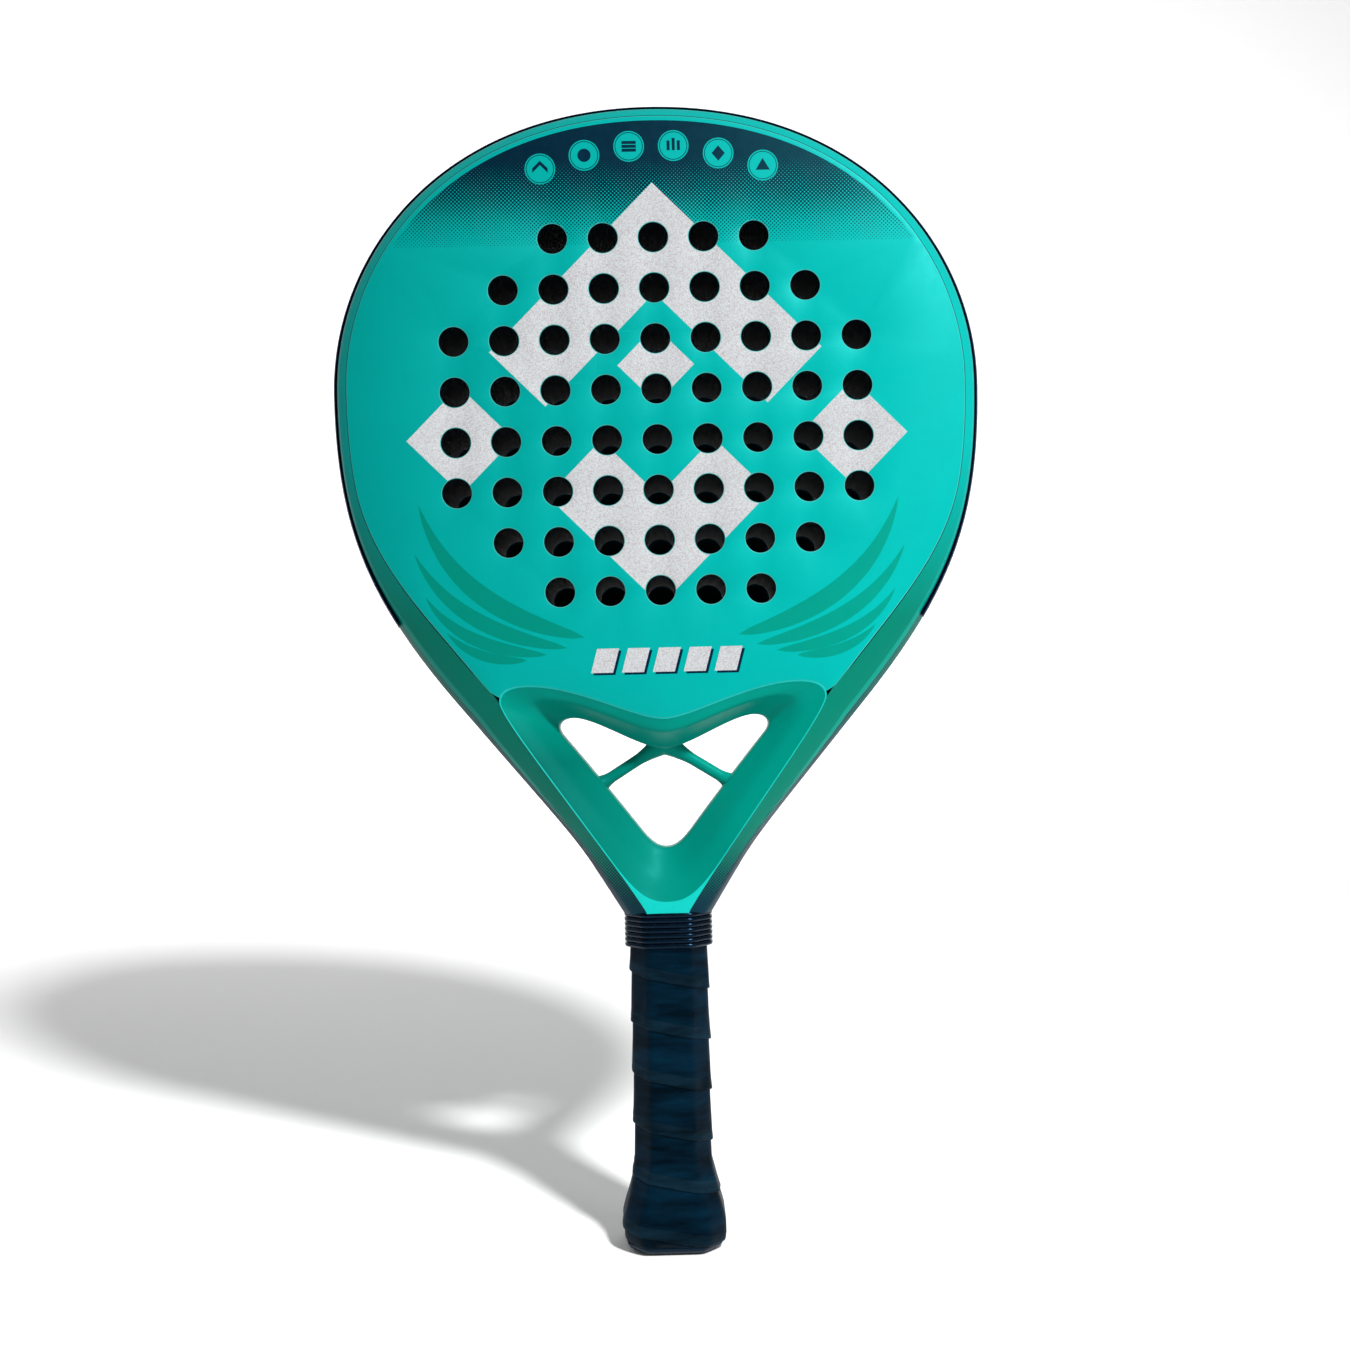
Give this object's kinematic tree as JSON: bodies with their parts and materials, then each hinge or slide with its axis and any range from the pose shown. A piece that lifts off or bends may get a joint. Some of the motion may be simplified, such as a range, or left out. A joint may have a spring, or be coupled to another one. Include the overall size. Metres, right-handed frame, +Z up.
{
  "type": "padel racket",
  "caption": "Padel racket with a perforated foam-cored teardrop head in a bent hoop, an open braced throat and a wrapped octagonal handle with a flared butt.",
  "frame": {"origin": "centre of the flat end of the butt, which is also the lowest point", "axes": "+Z up the handle to the crown of the head, front hitting face towards -Y, +X to the right when looking at the front face"},
  "size_m": [0.256, 0.038, 0.455],
  "materials": {
    "frame_lacquer": "satin lacquered composite, teal with darker green bevels and a navy crown and neck",
    "face_laminate": "satin lacquered fibre laminate, printed in teal, navy and gritty white",
    "core_foam": "black closed-cell EVA foam",
    "protector": "navy bumper strip, satin",
    "handle_moulding": "moulded rigid foam, matt",
    "cap_plastic": "moulded plastic, fine texture",
    "grip_pu": "near-black polyurethane grip tape, matt with a soft sheen",
    "tape": "black vinyl finishing tape",
    "collar_rubber": "glossy black ribbed rubber"
  },
  "bodies": {
    "root": {"frame_hoop": "frame_lacquer", "core_foam": "core_foam", "front_face": "face_laminate", "back_face": "face_laminate", "throat_yoke": "frame_lacquer", "brace_left": "frame_lacquer", "brace_right": "frame_lacquer", "rim_protector": "protector", "handle_spine": "handle_moulding", "handle_pallet_front": "handle_moulding", "handle_pallet_back": "handle_moulding", "butt_cap": "cap_plastic", "base_grip": "grip_pu", "overgrip": "grip_pu", "finishing_tape": "tape", "grip_collar": "collar_rubber"}
  },
  "joints": []
}
